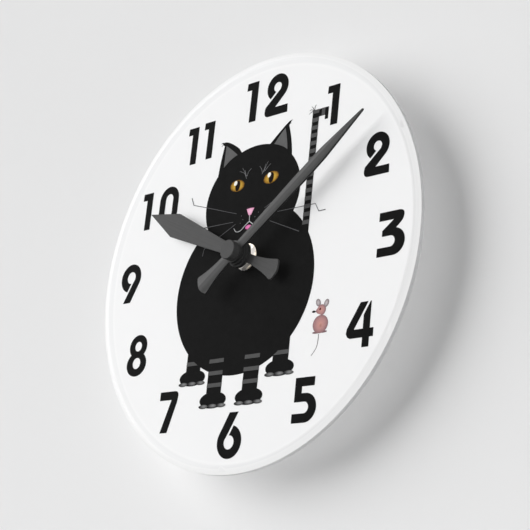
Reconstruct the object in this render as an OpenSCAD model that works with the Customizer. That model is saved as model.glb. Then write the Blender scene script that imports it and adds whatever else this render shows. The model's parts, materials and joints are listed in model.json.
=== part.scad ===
// Round battery wall clock: an acrylic dial with a printed cat and numerals,
// two hands, and a plastic quartz movement with its full gear train behind.
//
// Frame: +Z up (12 o'clock), +X towards 3 o'clock, the dial faces -Y.
// The origin is where the hand axis meets the wall. "Depth" is the distance
// in front of the wall, so a depth of 20 lies at y = -20.

/* [Dial] */
// Diameter of the dial
dial_d = 203.2; // [180:0.1:280]
// Thickness of the acrylic dial
dial_t = 3; // [2:0.5:6]
// Width of the rounded edge, seen from the front
edge_w = 4; // [2:0.5:6]
// How far the rounded edge falls back
edge_drop = 0.9; // [0.4:0.1:1.5]
// Thickness of one layer of ink
ink_t = 0.1; // [0.05:0.05:0.2]

/* [Hands] */
// Length of the minute hand from the axis to its tip
minute_len = 91; // [60:1:95]
// Length of the hour hand from the axis to its tip
hour_len = 74; // [45:1:80]
// Thickness of both hands
hand_t = 1; // [0.5:0.1:1.2]
// Direction of the minute hand, degrees clockwise from 12
minute_dir = 53; // [0:1:359]
// Direction of the hour hand, degrees clockwise from 12
hour_dir = 294.8; // [0:0.1:359.9]
// Height of the minute hand's front face above the dial
minute_h = 8.9; // [8.6:0.1:9.1]
// Height of the hour hand's front face above the dial
hour_h = 4.6; // [4.5:0.1:5]

/* [Movement] */
// Side of the square movement case
case_side = 56; // [56:1:60]
// Depth of the movement, from the wall to its front face
case_d = 16.5; // [16.5:0.1:16.9]
// Wall thickness of the case
case_wall = 1.2; // [1:0.1:1.4]
// Radius of the nail hole in the hanging loop
nail_r = 3; // [2:0.25:3.5]
// Thickness of the hanging loop
loop_t = 2.5; // [2:0.5:4]
// Radius of the threaded bushing
bushing_r = 3.95; // [3.9:0.05:4]

/* [Battery] */
// Radius of the AA cell
cell_r = 7.1; // [6.8:0.05:7.1]
// Length of the AA cell with its positive button
cell_len = 50.5; // [49.5:0.1:50.5]

/* [Hidden] */
$fn = 96;
run = 0.05;                        // radial clearance of a turning shaft in its hole
slip = 0.1;                        // gap between pieces that only pass each other
cover_t = 1.4;                     // rear cover
gasket_t = 1;
dial_back = case_d + gasket_t;
dial_front = dial_back + dial_t;
ink_1 = dial_front + ink_t;        // top of the black and white ink
ink_2 = ink_1 + ink_t;             // top of the grey and coloured ink
front_in = case_d - case_wall;     // inner face of the case front
half = case_side / 2;
inner = half - case_wall;
bay_top = inner - 2 * cell_r - 0.4;        // battery bay ceiling, below the axis
bay_z = -inner + cell_r + 0.2;             // axis of the battery
bay_depth = case_wall + 0.2 + cell_r;      // battery axis, measured from the case front

// Depths of the layers of the gear train, back face and front face
hour_layer = [13.7, 14.9];
motion_layer = [12.1, 13.3];
centre_layer = [10.6, 11.6];
third_layer = [9.1, 10.1];
second_layer = [7.6, 8.6];
fifth_layer = [6.1, 7.1];
magnet_layer = [3.2, 5.6];
stator_layer = [4.2, 5.0];

// Teeth
cannon_n = 12;
motion_n = 36;
motion_pinion_n = 10;
hour_n = 40;
knob_n = 12;
centre_n = 60;
third_pinion_n = 8;
third_n = 64;
second_pinion_n = 8;
second_n = 60;
fifth_pinion_n = 15;
fifth_n = 60;
rotor_n = 8;

// Distances between the axes
motion_gap = 12;
knob_gap = 12;
third_gap = 11.5;
fifth_gap = 11.25;
rotor_gap = 7.5;

// Module of each pair, from its distance and its teeth
cannon_m = 2 * motion_gap / (cannon_n + motion_n);
hour_m = 2 * motion_gap / (motion_pinion_n + hour_n);
knob_m = cannon_m;
centre_m = 2 * third_gap / (centre_n + third_pinion_n);
third_m = 2 * third_gap / (third_n + second_pinion_n);
second_m = 2 * fifth_gap / (second_n + fifth_pinion_n);
fifth_m = 2 * rotor_gap / (fifth_n + rotor_n);

// Direction from one axis to the next, degrees anticlockwise from 3 o'clock
motion_dir = 140;
knob_dir = 100;
third_dir = 50;
fifth_dir = 200;
rotor_dir = 160;

function polar(r, a) = [r * cos(a), r * sin(a)];
motion_c = polar(motion_gap, motion_dir);
knob_c = motion_c + polar(knob_gap, knob_dir);
third_c = polar(third_gap, third_dir);
fifth_c = polar(fifth_gap, fifth_dir);
rotor_c = fifth_c + polar(rotor_gap, rotor_dir);

// Turn of a gear that puts its gaps opposite the teeth of the gear it meets.
// phase: turn of the gear that is met; dir: direction from that gear to this one
function meshed(phase, n_met, n_this, dir) =
    dir + 180 + 180 / n_this - (phase - dir) * n_met / n_this;

cannon_ph = motion_dir;
motion_ph = meshed(cannon_ph, cannon_n, motion_n, motion_dir);
knob_ph = meshed(motion_ph, motion_n, knob_n, knob_dir);
hour_ph = motion_dir;
motion_pinion_ph = meshed(hour_ph, hour_n, motion_pinion_n, motion_dir);
centre_ph = third_dir;
third_pinion_ph = meshed(centre_ph, centre_n, third_pinion_n, third_dir);
second_pinion_ph = third_dir;
third_ph = meshed(second_pinion_ph, second_pinion_n, third_n, third_dir);
second_ph = fifth_dir;
fifth_pinion_ph = meshed(second_ph, second_n, fifth_pinion_n, fifth_dir);
fifth_ph = rotor_dir;
rotor_ph = meshed(fifth_ph, fifth_n, rotor_n, rotor_dir);

// ---------- shared shapes ----------

// A flat outline, drawn as seen from the front, between two depths
module slab(back, front) {
    translate([0, -back, 0])
        rotate([90, 0, 0])
            linear_extrude(front - back)
                children();
}

// A turned shape about the hand axis, from a profile of [radius, depth]
module turned() {
    rotate([90, 0, 0])
        rotate_extrude()
            children();
}

// Moves a piece to an axis given as [x, z]
module at(c) {
    translate([c[0], 0, c[1]])
        children();
}

module ring(r_out, r_in) {
    difference() {
        circle(r_out);
        circle(r_in);
    }
}

module tube(r_out, r_in, back, front) {
    slab(back, front)
        ring(r_out, r_in);
}

module rod(r, back, front) {
    slab(back, front)
        circle(r);
}

// Points of an arc about c, from angle a to angle b
function arc(c, r, a, b, n = 12) = [for (i = [0 : n]) c + polar(r, a + (b - a) * i / n)];

// Points of an ellipse about c with half-axes a and b
function oval(c, a, b, n = 72) = [for (i = [0 : n - 1]) c + [a * cos(360 * i / n), b * sin(360 * i / n)]];

// Points of a curve that leaves p0 towards p1 and arrives at p2
function bend(p0, p1, p2, n = 8) =
    [for (i = [0 : n]) let (t = i / n) (1 - t) * (1 - t) * p0 + 2 * t * (1 - t) * p1 + t * t * p2];

function mirrored(points) = [for (i = [len(points) - 1 : -1 : 0]) [points[i][0], -points[i][1]]];

// Outline of a gear. Flanks are radial below the pitch circle and the tips
// are narrowed, as on clock wheels; teeth fill 84% of half the pitch.
module gear_outline(n, m, phase) {
    pitch_r = m * n / 2;
    w = 90 / n * 0.84;
    polygon([for (k = [0 : n - 1]) let (c = phase + k * 360 / n) each [
        polar(pitch_r - 1.15 * m, c - w),
        polar(pitch_r, c - w),
        polar(pitch_r + 0.45 * m, c - 0.72 * w),
        polar(pitch_r + 0.8 * m, c - 0.3 * w),
        polar(pitch_r + 0.8 * m, c + 0.3 * w),
        polar(pitch_r + 0.45 * m, c + 0.72 * w),
        polar(pitch_r, c + w),
        polar(pitch_r - 1.15 * m, c + w)
    ]]);
}

// A toothed wheel in a layer, with round windows between its hub and its rim
module gear(n, m, phase, layer, windows = 0, hub_r = 2.2) {
    rim_r = m * n / 2 - 1.15 * m - 1;
    window_at = (hub_r + rim_r) / 2;
    slab(layer[0], layer[1])
        difference() {
            gear_outline(n, m, phase);
            for (k = [0 : 1 : windows - 1])
                rotate(phase + k * 360 / windows)
                    translate([window_at, 0])
                        circle(min((rim_r - hub_r) / 2 - 0.3, window_at * sin(180 / windows) - 0.5));
        }
}

// ---------- numerals ----------
// Each is drawn in a box about 14 wide and 20 high, from its lower left corner

module half_plane(through, dir) {
    translate(through)
        rotate(dir)
            translate([-60, 0])
                square([120, 60]);
}

module digit_one() {
    polygon([[3.05, 0], [7.25, 0], [7.25, 19.9], [0.2, 19.9], [0, 16.2], [3.05, 16.2]]);
}

module digit_two() {
    c = [6.75, 13.8];
    intersection() {
        translate(c)
            ring(6.5, 2.35);
        union() {
            half_plane(c, -45);
            half_plane([5.7, 11.4], 45);
        }
    }
    polygon(concat(
        [[13.9, 4], [6.1, 4]],
        [c + polar(6.5, -45), c + polar(6.5, -30), c + polar(6.5, -15), c + polar(6.5, 0)],
        [c + polar(2.35, 0), c + polar(2.35, -40)],
        [[0.6, 5.2]],
        bend([0.2, 4.8], [-1.2, 0], [2.6, 0]),
        [[14.1, 0]]));
}

module digit_three() {
    polygon(concat(
        [[0.2, 20]], bend([10.8, 20], [14.6, 20], [13.3, 16]), bend([13.1, 15.6], [12.6, 14.6], [9.7, 12.3]),
        arc([8.7, 6.1], 6.1, 80, -90, 18),
        [[0, 0], [0, 4]],
        arc([6.9, 6.5], 2.5, -90, 90),
        [[2.2, 9], [2.2, 11.6], [8.2, 16.1], [0.2, 16.1]]));
}

module digit_four() {
    polygon([[7, 19.9], [11.2, 19.9], [4.2, 8.1], [9.2, 8.1], [9.2, 4.3], [2.4, 4.3], [0.8, 5.1], [0, 6.6], [0.3, 8.7]]);
    polygon([[12.5, 19.9], [12.95, 19.9], [12.95, 8.1], [15, 8.1], [15, 4.3], [12.95, 4.3], [12.95, 0], [9.2, 0], [9.2, 14.2]]);
}

module digit_five() {
    polygon(concat(
        [[0.5, 20], [11.7, 20], [11.7, 16], [4.5, 16], [4.5, 13]],
        arc([7.1, 6.5], 6.5, 90, -90, 18),
        [[-0.2, 0], [-0.2, 4.1]],
        arc([6.5, 6.65], 2.55, -90, 90),
        [[0.5, 9.2]]));
}

module digit_seven() {
    polygon(concat(
        [[0, 19.8]],
        bend([10, 19.8], [12.9, 19.8], [12.4, 16.6]),
        [[12, 14.3], [7.2, 0], [2.3, 0], [8.2, 15.7], [0, 15.7]]));
}

module digit_eight() {
    difference() {
        union() {
            polygon(oval([7.1, 14.8], 6.35, 5.9));
            polygon(oval([7.1, 5.9], 7.1, 6.15));
        }
        translate([7.15, 14.8])
            circle(2.45);
        translate([7.1, 6.3])
            circle(2.8);
    }
}

module digit_nine() {
    polygon(concat(
        arc([7.4, 13.2], 7.35, -28, 255, 36),
        arc([7.6, 13.4], 3.05, 275, -46, 30),
        [[3.4, 0.2], [8.7, 0.2]]));
}

module digit_zero() {
    difference() {
        union() {
            for (z = [6.9, 14])
                translate([6.9, z])
                    circle(6.9);
            translate([0, 6.9])
                square([13.8, 7.1]);
        }
        for (z = [6.7, 14.2])
            translate([7, z])
                circle(2.7);
        translate([4.3, 6.7])
            square([5.4, 7.5]);
    }
}

// Places a digit by its lower left corner and its size against the drawn one
module placed(x, z, size = 1) {
    translate([x, z])
        scale([size, size])
            children();
}

tall = 1.06;       // 12 stands a little taller than the rest
six_size = 1.04;   // 6 against 9

module numerals() {
    placed(-11.6, 69.5, tall) digit_one();
    placed(2.2, 69.5, tall) digit_two();
    placed(42.6, 56.1) digit_one();
    placed(68.7, 25.9) digit_two();
    placed(79.5, -12.5) digit_three();
    placed(65.9, -51.1) digit_four();
    placed(38.8, -81.2) digit_five();
    translate([9.3, -73.55])
        rotate(180)
            scale([six_size, six_size])
                translate([0, -0.2])
                    digit_nine();
    placed(-48.4, -80.5) digit_seven();
    placed(-76.5, -50.7) digit_eight();
    placed(-89.3, -12.3) digit_nine();
    placed(-80.1, 25.6) digit_one();
    placed(-66.9, 25.3) digit_zero();
    placed(-51, 55.4) digit_one();
    placed(-39.6, 56.2) digit_one();
}

// ---------- printed cat ----------

body_c = [-0.4, -14.5];
head_c = [-0.55, 29.3];
tail_x = 34.2;      // left edge of the tail
tail_w = 4;
tail_top = 65.9;
stripe_gap = 3.83;  // from one tail stripe to the next
stripe_h = 2;
leg_w = 9.5;
leg_x = [-27.6, -12.1, 11, 28.5];        // centres of the four legs
leg_foot = [-51, -62.6, -62.6, -51];     // where each paw begins

// Outlines of the ears, each with a bent hair at its tip
module left_ear() {
    polygon(concat(
        [[-24, 38], [-25.8, 45]],
        bend([-25.6, 46], [-25, 53], [-23.4, 60.3]),
        [[-25.3, 62.1]],
        bend([-23.2, 62.4], [-19.5, 62], [-12.8, 57]),
        [[-10.6, 54.2], [-10, 46]]));
}

module right_ear() {
    polygon(concat(
        [[22, 38], [23.2, 46.2]],
        bend([23, 47.5], [22.4, 54], [19.5, 62]),
        [[20.9, 64], [18.8, 63.6]],
        bend([18.3, 63.2], [16, 61.8], [8, 54.8]),
        [[7, 46]]));
}

// Insides of the ears
module left_ear_inside() {
    polygon(concat(
        [[-22, 60.2]],
        bend([-22, 60.2], [-17.4, 57.2], [-13.5, 53.8]),
        bend([-13.5, 53.8], [-18, 52.6], [-22.3, 48.8])));
}

module right_ear_inside() {
    polygon(concat(
        [[17.3, 61]],
        bend([17.3, 61], [14.6, 58.6], [11, 54.2]),
        bend([11, 54.2], [16, 52.8], [20, 49.8]),
        bend([20, 49.8], [19.4, 55], [17.6, 60.4])));
}

// A flat oval paw on three small toes
module paw(x, z) {
    polygon(oval([x, z - 4.4], 8.6, 3.9));
    for (k = [-1 : 1])
        polygon(oval([x + k * 5.85, z - 7.2], 2.95, 0.95, 32));
}

module body_outline() {
    polygon(oval(body_c, 44.4, 41.9, 120));
}

module cat_outline() {
    body_outline();
    polygon(oval(head_c, 31, 26.7, 90));
    left_ear();
    right_ear();
    translate([tail_x, 4])
        square([tail_w, tail_top - 4]);
    translate([tail_x, tail_top - 3.8])
        square([9.7, 3.8]);
    translate([tail_x + 7.8, tail_top - 6])
        square([1.9, 6]);
    for (i = [0 : 3]) {
        translate([leg_x[i] - leg_w / 2, leg_foot[i] - 2])
            square([leg_w, -leg_foot[i] - 36]);
        paw(leg_x[i], leg_foot[i]);
    }
}

// Grey parts of the cat: insides of the ears, bands on tail and legs
module cat_bands() {
    left_ear_inside();
    right_ear_inside();
    for (k = [0 : 13])
        translate([tail_x, 10 + k * stripe_gap])
            square([tail_w, stripe_h]);
    translate([tail_x, tail_top - 1.8])
        square([tail_w, 1.8]);
    translate([tail_x + 5.7, tail_top - 3.8])
        square([stripe_h, 3.8]);
    for (i = [1, 2], z = [-49.5, -55.25, -61])
        translate([leg_x[i] - leg_w / 2, z])
            square([leg_w, 1.9]);
    // the outer legs stand behind the body, which hides part of their band
    difference() {
        for (i = [0, 3])
            translate([leg_x[i] - leg_w / 2, -49.5])
                square([leg_w, 1.9]);
        body_outline();
    }
}

// An ear of the mouse, leaning by an angle
module mouse_ear(c, lean) {
    translate(c)
        rotate(lean)
            polygon(oval([0, 0], 1.3, 1.85, 32));
}

module mouse_outline() {
    polygon(oval([50.65, -38.2], 4.4, 4.1, 40));
    polygon(concat(
        arc([50.6, -31.8], 2.5, -80, 130, 16),
        [[48.4, -30.6], [47.1, -32.1], [48.4, -33.2]]));
    mouse_ear([48.4, -28.3], 25);
    mouse_ear([53.2, -29], -25);
    for (x = [48.6, 52.6])
        polygon(oval([x, -41.8], 2.2, 0.5, 24));
}

// ---------- dial ----------

washer_r = 6.4;
print_hole = washer_r + 0.15;

module dial_plate() {
    edge_r = (edge_w * edge_w + edge_drop * edge_drop) / (2 * edge_drop);
    flat_r = dial_d / 2 - edge_w;
    color("white")
        turned()
            difference() {
                union() {
                    translate([0, dial_back])
                        square([flat_r, dial_t]);
                    intersection() {
                        translate([flat_r, dial_front - edge_r])
                            circle(edge_r, $fn = 200);
                        translate([flat_r, dial_back])
                            square([edge_w, dial_t]);
                    }
                }
                translate([0, dial_back - 1])
                    square([bushing_r + 0.15, dial_t + 2]);
            }
}

module numeral_print() {
    color("black")
        slab(dial_front, ink_1)
            numerals();
}

module cat_print() {
    color("black")
        slab(dial_front, ink_1)
            difference() {
                cat_outline();
                circle(print_hole);
            }
}

module stripe_print() {
    color("dimgray")
        slab(ink_1, ink_2)
            intersection() {
                cat_bands();
                cat_outline();
            }
}

module eye_print() {
    color("goldenrod")
        slab(ink_1, ink_2)
            for (side = [-1, 1])
                translate([side * 11.2, 37.4])
                    rotate(side * 6)
                        polygon(oval([0, 0], 4.9, 3, 40));
}

module nose_print() {
    color("hotpink")
        slab(ink_1, ink_2) {
            polygon(concat(
                bend([-2.95, 24], [-0.5, 24.4], [2, 24], 4),
                bend([0.4, 20.9], [-0.5, 20.2], [-1.4, 20.9], 4)));
            polygon(oval([-0.7, 14.8], 2, 1.1, 32));
        }
}

module mouse_print() {
    color("rosybrown")
        slab(dial_front, ink_1)
            mouse_outline();
}

// ---------- dial fixings ----------

module rubber_gasket() {
    color("#222222")
        tube(11, bushing_r + 0.1, case_d, dial_back);
}

module brass_washer() {
    color("gold")
        tube(washer_r, bushing_r + 0.1, dial_front, dial_front + 0.5);
}

module hex_nut() {
    nut_back = dial_front + 0.5;
    color("silver")
        difference() {
            translate([0, -nut_back, 0])
                rotate([90, 0, 0])
                    intersection() {
                        rotate(30)
                            cylinder(r = 6.95, h = 2.5, $fn = 6);
                        cylinder(r1 = 8.9, r2 = 6.4, h = 2.5);
                    }
            rod(bushing_r + run, nut_back - 1, nut_back + 4);
        }
}

pipe_r = 2.5;       // hour wheel pipe
arbor_r = 1.6;      // minute arbor
thread_pitch = 0.75;

module threaded_bushing() {
    front = dial_front + 3.5;
    grooves = 8;
    color("darkgoldenrod")
        difference() {
            union() {
                rod(bushing_r, front_in - 0.1, front);
                rod(bushing_r + 1.5, hour_layer[1] + slip, front_in);
            }
            rod(pipe_r + run, front_in - 1, front + 1);
            for (k = [0 : grooves - 1])
                tube(bushing_r + 1, bushing_r - 0.35, front - 0.5 - k * thread_pitch, front - 0.2 - k * thread_pitch);
        }
}

// ---------- hands ----------

// One side of the flared tail, from the hub to its far corner
function flare(root_w, end_w, end_u, crown) = concat(
    bend([-4, root_w], [end_u * 0.62, root_w], [end_u + 0.8, end_w]),
    bend([end_u, end_w - 0.3], [end_u - crown * 0.8, end_w * 0.55], [end_u - crown, 0]));

module hour_outline() {
    side = concat([[hour_len, 0], [hour_len * 0.715, 6.15], [14, 3.1], [6, 2.6]], flare(2.1, 5, -26, 1.7));
    polygon(concat(side, mirrored(side)));
}

module minute_outline() {
    side = concat(
        [[minute_len, 0], [minute_len - 0.6, 0.35]],
        bend([64, 2.9], [56, 3.15], [44, 3.05], 4),
        [[14, 2.55], [5, 2.4]],
        flare(2.7, 5.3, -23.6, 2));
    polygon(concat(side, mirrored(side)));
}

module hour_hand() {
    face = dial_front + hour_h;
    color("#444444")
        difference() {
            union() {
                slab(face - hand_t, face)
                    rotate(90 - hour_dir)
                        hour_outline();
                rod(6.5, face - hand_t, face + 0.9);
                rod(5.6, face + 0.8, face + 2.3);
            }
            rod(pipe_r, face - hand_t - 1, face + 3);
        }
}

module minute_hand() {
    face = dial_front + minute_h;
    color("#444444")
        difference() {
            union() {
                slab(face - hand_t, face)
                    rotate(90 - minute_dir)
                        minute_outline();
                rod(5.3, face - hand_t - 0.4, face + 0.1);
            }
            rod(arbor_r, face - hand_t - 2, face + 1);
        }
}

cap_front = 12.7;

module hand_cap() {
    back = dial_front + minute_h + 0.1;
    front = dial_front + cap_front;
    color("#444444")
        turned()
            difference() {
                polygon([[0, back], [4.65, back], [4.65, front - 0.25], [4.4, front], [0, front]]);
                translate([0, back - 1])
                    square([arbor_r, 3.4]);
            }
}

// ---------- hand setting train ----------

module hour_wheel() {
    color("ivory")
        difference() {
            union() {
                gear(hour_n, hour_m, hour_ph, hour_layer, 6, 3.2);
                rod(pipe_r, hour_layer[1] - 0.1, dial_front + 5.8);
            }
            rod(arbor_r + run, hour_layer[0] - 1, dial_front + 7);
        }
}

module minute_arbor() {
    tail_r = 1.15;
    back = centre_layer[0] - 0.4;
    color("gainsboro")
        difference() {
            union() {
                gear(cannon_n, cannon_m, cannon_ph, motion_layer);
                rod(arbor_r, motion_layer[1] - 0.1, dial_front + minute_h + 2.4);
                rod(tail_r, back, motion_layer[0] + 0.1);
            }
            rod(0.5 + run, back - 1, back + 2.4);
        }
}

pivot_r = 0.5;
back_stop = cover_t - 0.6;      // depth where the back pivots end

// Ends of an arbor that turns in the case front and in the rear cover
module arbor(r = pivot_r) {
    rod(r, back_stop, front_in + 0.6);
}

module intermediate_wheel() {
    color("ivory")
        at(motion_c)
            union() {
                gear(motion_n, cannon_m, motion_ph, motion_layer, 5, 3.4);
                gear(motion_pinion_n, hour_m, motion_pinion_ph, [motion_layer[1] - 0.1, hour_layer[1]]);
                rod(1.4, motion_layer[0] - 1.5, motion_layer[0] + 0.1);
                arbor();
            }
}

knob_r = 5.6;
cup_r = 7;          // cup in the rear cover that holds the knob
cup_floor = 4;      // depth of the cup's inner face
stem_r = 1.5;
stem_back = 1.6;    // depth where the stem ends inside the knob

module setting_knob() {
    ribs = 24;
    color("dimgray")
        at(knob_c)
            difference() {
                slab(0.3, 2.8)
                    difference() {
                        circle(knob_r);
                        for (k = [0 : ribs - 1])
                            rotate(k * 360 / ribs)
                                translate([knob_r + 0.1, 0])
                                    circle(0.35);
                    }
                slab(-0.5, 1)
                    square([7, 1], center = true);
                rod(stem_r, stem_back, 3.5);
            }
}

module setting_pinion() {
    color("ivory")
        at(knob_c)
            union() {
                rod(stem_r, stem_back, motion_layer[0] + 0.1);
                gear(knob_n, knob_m, knob_ph, motion_layer);
                rod(0.8, motion_layer[1] - 0.1, front_in + 0.6);
            }
}

// ---------- going train ----------

module centre_wheel() {
    color("khaki")
        difference() {
            union() {
                gear(centre_n, centre_m, centre_ph, centre_layer, 6, 2.8);
                rod(2, centre_layer[0], centre_layer[1] + 0.3);
            }
            rod(1.15 + run, centre_layer[0] - 1, centre_layer[1] + 1);
        }
}

module third_wheel() {
    color("ivory")
        at(third_c)
            union() {
                gear(third_n, third_m, third_ph, third_layer, 6);
                gear(third_pinion_n, centre_m, third_pinion_ph, [third_layer[1] - 0.1, centre_layer[1]]);
                arbor();
            }
}

module second_wheel() {
    color("khaki")
        union() {
            gear(second_n, second_m, second_ph, second_layer, 6);
            gear(second_pinion_n, third_m, second_pinion_ph, [second_layer[1] - 0.1, third_layer[1]]);
            rod(pivot_r, back_stop, centre_layer[0] + 1.4);
        }
}

module fifth_wheel() {
    color("ivory")
        at(fifth_c)
            union() {
                gear(fifth_n, fifth_m, fifth_ph, fifth_layer, 5, 3);
                gear(fifth_pinion_n, second_m, fifth_pinion_ph, [fifth_layer[1] - 0.1, second_layer[1]]);
                arbor();
            }
}

magnet_r = 3;

module rotor_pinion() {
    color("gainsboro")
        at(rotor_c)
            union() {
                gear(rotor_n, fifth_m, rotor_ph, [magnet_layer[1], fifth_layer[1] + 0.3]);
                rod(0.4, back_stop, front_in + 0.6);
            }
}

module rotor_magnet() {
    color("#3a3a3a")
        at(rotor_c)
            tube(magnet_r, 0.4, magnet_layer[0], magnet_layer[1]);
}

// ---------- motor ----------

coil_x = -23.4;
coil_z = [4.5, 21.9];                   // ends of the winding
core_z = [-2, 25.7];                    // ends of the core
screw_z = [core_z[0] + 1.2, core_z[1] - 1.6];
core_w = 2.4;
core_t = 1;
core_front = stator_layer[1] + core_t;
screw_r = 0.8;
post_r = 1.3;

// The two places where the core and the stator are screwed to the case
module at_screws() {
    for (z = screw_z)
        at([coil_x, z])
            children();
}

module stator_outline() {
    union() {
        translate(rotor_c)
            circle(5.4);
        translate([coil_x - 2, rotor_c[1] - 3.6])
            square([rotor_c[0] - coil_x + 2, 5.6]);
        translate([-19.6, rotor_c[1]])
            square([2.6, core_z[1] - rotor_c[1]]);
        translate([coil_x - 2, coil_z[1] + 1])
            square([6.4, core_z[1] - coil_z[1] - 1]);
    }
}

module stator() {
    color("silver")
        difference() {
            slab(stator_layer[0], stator_layer[1])
                stator_outline();
            at(rotor_c)
                rod(magnet_r + 0.5, stator_layer[0] - 1, stator_layer[1] + 1);
            at_screws()
                rod(screw_r, stator_layer[0] - 1, stator_layer[1] + 1);
        }
}

module coil_core() {
    color("gray")
        difference() {
            slab(stator_layer[1], core_front)
                translate([coil_x - core_w / 2, core_z[0]])
                    square([core_w, core_z[1] - core_z[0]]);
            at_screws()
                rod(screw_r, stator_layer[1] - 1, core_front + 1);
        }
}

module stator_screws() {
    color("silver")
        at_screws()
            union() {
                difference() {
                    rod(1.3, stator_layer[0] - 0.9, stator_layer[0]);
                    slab(stator_layer[0] - 1.4, stator_layer[0] - 0.5)
                        square([4, 0.45], center = true);
                }
                rod(screw_r, stator_layer[0] - 0.1, core_front + 0.9);
            }
}

// A tube of the coil, standing upright around the core
module coil_tube(r, z) {
    translate([coil_x, -(stator_layer[1] + core_t / 2), z[0]])
        cylinder(r = r, h = z[1] - z[0]);
}

bobbin_r = 1.9;
flange_r = 3;
flange_t = 0.8;

module coil_bobbin() {
    bottom = coil_z[0] - flange_t;
    top = coil_z[1] + flange_t;
    color("ivory")
        difference() {
            union() {
                coil_tube(bobbin_r, [bottom, top]);
                coil_tube(flange_r, [bottom, coil_z[0]]);
                coil_tube(flange_r, [coil_z[1], top]);
            }
            slab(stator_layer[1], core_front)
                translate([coil_x - core_w / 2, bottom - 1])
                    square([core_w, top - bottom + 2]);
        }
}

module coil_winding() {
    color("#b5651d")
        difference() {
            coil_tube(flange_r - 0.2, coil_z);
            coil_tube(bobbin_r, [coil_z[0] - 1, coil_z[1] + 1]);
        }
}

// ---------- electronics ----------

board = [3, 14.5, 25.5, 26.6];      // left, bottom, right, top
board_depth = [2.6, 3.6];
board_pins = [[8, 24.3], [23, 16]];
pin_r = 0.85;

module circuit_board() {
    color("darkgreen")
        difference() {
            slab(board_depth[0], board_depth[1])
                translate([board[0], board[1]])
                    square([board[2] - board[0], board[3] - board[1]]);
            for (c = board_pins)
                at(c)
                    rod(pin_r + run, board_depth[0] - 1, board_depth[1] + 1);
        }
}

module clock_chip() {
    color("#111111")
        slab(board_depth[1], board_depth[1] + 1.1)
            polygon(oval([19.5, 20], 3.2, 2.9, 40));
}

module quartz_crystal() {
    can_r = 1.5;
    rim_r = 1.65;
    color("silver")
        translate([7, -(board_depth[1] + rim_r), 18])
            rotate([0, 90, 0])
                union() {
                    cylinder(r = can_r, h = 7.6);
                    translate([0, 0, -0.7])
                        cylinder(r = rim_r, h = 0.8);
                }
}

// A round wire through points, with round bends
module wire(points, r) {
    for (i = [0 : len(points) - 2]) {
        run_v = points[i + 1] - points[i];
        translate(points[i])
            rotate([0, acos(run_v[2] / norm(run_v)), atan2(run_v[1], run_v[0])])
                cylinder(r = r, h = norm(run_v));
    }
    for (i = [1 : len(points) - 2])
        translate(points[i])
            sphere(r);
}

module coil_leads() {
    r = 0.2;
    z = coil_z[1] + flange_t / 2;
    color("#b5651d")
        for (k = [0, 1])
            wire([
                [coil_x + flange_r, -(core_front - 0.5 + k * 0.8), z],
                [board[0] + 0.8 + k * 0.8, -(core_front - 0.5 + k * 0.8), z],
                [board[0] + 0.8 + k * 0.8, -board_depth[1], z]
            ], r);
}

// ---------- case ----------

corner_r = 3;

module rounded_square(w, h, r) {
    union() {
        translate([-w / 2 + r, -h / 2])
            square([w - 2 * r, h]);
        translate([-w / 2, -h / 2 + r])
            square([w, h - 2 * r]);
        for (x = [-1, 1], z = [-1, 1])
            translate([x * (w / 2 - r), z * (h / 2 - r)])
                circle(r);
    }
}

wall_z = -bay_top;        // underside of the wall above the battery bay
wall_t = 1;
tongue_depth = [6.5, 9.5];      // where the positive contact passes that wall
lead_depth = [10, 13];          // where the negative contact passes it

loop_r = 7.5;
nail_z = half + 4.5;    // height of the nail hole above the hand axis

module hanging_loop() {
    slab(0, loop_t)
        union() {
            translate([-loop_r, half - 1])
                square([2 * loop_r, nail_z - half + 0.5]);
            translate([0, nail_z - 0.5])
                circle(loop_r);
        }
}

module movement_case() {
    color("#222222")
        difference() {
            union() {
                difference() {
                    union() {
                        slab(0, case_d)
                            rounded_square(case_side, case_side, corner_r);
                        hanging_loop();
                    }
                    slab(-1, front_in)
                        translate([-inner, wall_z + wall_t])
                            square([2 * inner, inner - wall_z - wall_t]);
                    slab(-1, front_in)
                        translate([-inner, -inner])
                            square([2 * inner, wall_z + inner]);
                }
                // bearing bosses behind the case front
                for (c = [motion_c, third_c, fifth_c, rotor_c])
                    at(c)
                        rod(1.3, hour_layer[1] + slip, front_in + 0.1);
                // posts that carry the motor
                at_screws()
                    rod(post_r, core_front, front_in + 0.1);
            }
            at_screws()
                rod(screw_r, core_front - 1, core_front + 1.2);
            // notches that let the battery contacts past the wall of the bay
            slab(tongue_depth[0] - slip, tongue_depth[1] + slip)
                translate([inner - 0.6, wall_z - 1])
                    square([0.6, wall_t + 2]);
            slab(lead_depth[0] - slip, lead_depth[1] + slip)
                translate([-inner, wall_z - 1])
                    square([0.6, wall_t + 2]);
            at([0, nail_z])
                rod(nail_r, -1, loop_t + 1);
            rod(bushing_r, front_in - 1, case_d + 1);
            for (c = [motion_c, third_c, fifth_c])
                at(c)
                    rod(pivot_r + run, hour_layer[1] - 1, front_in + 0.7);
            at(rotor_c)
                rod(0.4 + run, hour_layer[1] - 1, front_in + 0.7);
            at(knob_c)
                rod(0.8 + run, front_in - 1, front_in + 0.7);
            // finger notch at the bottom of the battery bay
            slab(-1, 5)
                translate([0, -half])
                    circle(7);
        }
}

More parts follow.
